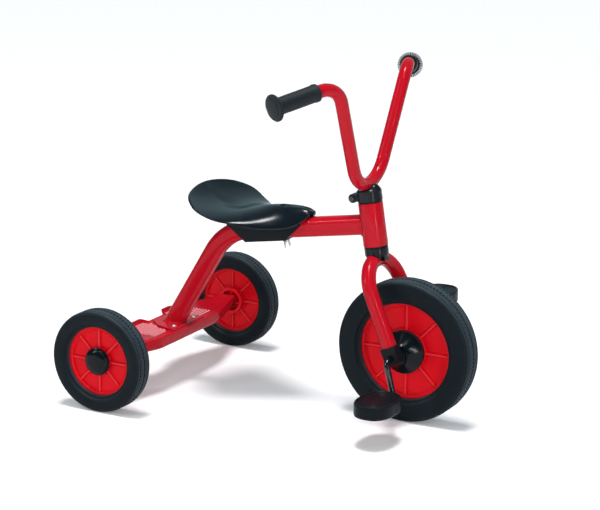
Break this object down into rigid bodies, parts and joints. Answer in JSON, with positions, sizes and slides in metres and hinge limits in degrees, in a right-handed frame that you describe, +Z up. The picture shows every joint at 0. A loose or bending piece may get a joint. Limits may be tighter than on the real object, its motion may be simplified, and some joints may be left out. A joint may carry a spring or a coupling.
{
  "type": "tricycle",
  "caption": "Toddler's tricycle with a red tube frame, rear step, black moulded saddle, V handlebar and pedals on the front wheel.",
  "frame": {"origin": "on the ground, on the centre line, midway between the rear of the rear tyres and the front of the front tyre", "axes": "+X forward, +Y to the rider's left, +Z up"},
  "size_m": [0.654, 0.482, 0.5666],
  "materials": {
    "red_tube": "gloss powder coat",
    "red_sheet": "gloss powder coat",
    "red_plastic": "satin",
    "black_plastic": "fine grain",
    "black_gloss_plastic": "gloss",
    "black_rubber": "matt",
    "tyre": "matt moulded tread",
    "black_steel": "gloss",
    "zinc": "zinc plated"
  },
  "bodies": {
    "frame": {"main_tube": "red_tube", "head_tube": "red_tube", "upper_bush": "black_plastic", "lower_bush": "black_plastic", "rear_step": "red_sheet", "foot_pad": "red_sheet", "right_foot_bolt": "zinc", "left_foot_bolt": "zinc", "axle_tube": "red_tube", "rear_axle": "zinc", "right_axle_washer": "black_steel", "left_axle_washer": "black_steel", "right_axle_nut": "zinc", "left_axle_nut": "zinc"},
    "saddle": {"seat_shell": "black_gloss_plastic", "seat_clamp": "black_plastic", "seat_jaw": "black_plastic"},
    "wing_bolt_body": {"wing_bolt": "zinc"},
    "steering": {"fork": "red_tube", "lower_collar": "black_gloss_plastic", "upper_clamp": "black_gloss_plastic", "pinch_bolt": "black_steel", "pinch_nut": "black_steel", "handlebar": "red_tube", "grip_right": "black_rubber", "grip_left": "black_rubber", "right_fork_block": "black_plastic", "left_fork_block": "black_plastic"},
    "front_wheel": {"front_tyre": "tyre", "right_front_rim": "red_plastic", "left_front_rim": "red_plastic", "right_front_hub": "black_gloss_plastic", "left_front_hub": "black_gloss_plastic", "crankshaft": "black_steel"},
    "right_pedal_body": {"right_pedal": "black_plastic"},
    "left_pedal_body": {"left_pedal": "black_plastic"},
    "right_rear_wheel": {"right_tyre": "tyre", "right_rim_outer": "red_plastic", "right_rim_inner": "red_plastic", "right_wheel_bush": "black_plastic", "right_hub_cap": "black_gloss_plastic"},
    "left_rear_wheel": {"left_tyre": "tyre", "left_rim_outer": "red_plastic", "left_rim_inner": "red_plastic", "left_wheel_bush": "black_plastic", "left_hub_cap": "black_gloss_plastic"}
  },
  "joints": [
    {"name": "steering_turn", "type": "hinge", "parent": "frame", "child": "steering", "pos_m": [0.14977, 0, 0.2825], "axis": [-0.1599, 0, 0.9871], "range_deg": [-40, 40]},
    {"name": "front_wheel_spin", "type": "hinge", "parent": "steering", "child": "front_wheel", "pos_m": [0.21, 0, 0.117], "axis": [0, 1, 0], "continuous": true},
    {"name": "right_pedal_spin", "type": "hinge", "parent": "front_wheel", "child": "right_pedal_body", "pos_m": [0.22449, -0.133, 0.06291], "axis": [0, 1, 0], "continuous": true},
    {"name": "left_pedal_spin", "type": "hinge", "parent": "front_wheel", "child": "left_pedal_body", "pos_m": [0.19551, 0.133, 0.17109], "axis": [0, 1, 0], "continuous": true},
    {"name": "right_rear_wheel_spin", "type": "hinge", "parent": "frame", "child": "right_rear_wheel", "pos_m": [-0.242, -0.2115, 0.085], "axis": [0, 1, 0], "continuous": true},
    {"name": "left_rear_wheel_spin", "type": "hinge", "parent": "frame", "child": "left_rear_wheel", "pos_m": [-0.242, 0.2115, 0.085], "axis": [0, 1, 0], "continuous": true},
    {"name": "saddle_slide", "type": "slide", "parent": "frame", "child": "saddle", "axis": [0.9871, 0, 0.1599], "range_m": [0, 0.05]},
    {"name": "wing_bolt_turn", "type": "hinge", "parent": "saddle", "child": "wing_bolt_body", "pos_m": [-0.01844, 0, 0.29051], "axis": [-0.1599, 0, 0.9871], "continuous": true}
  ]
}
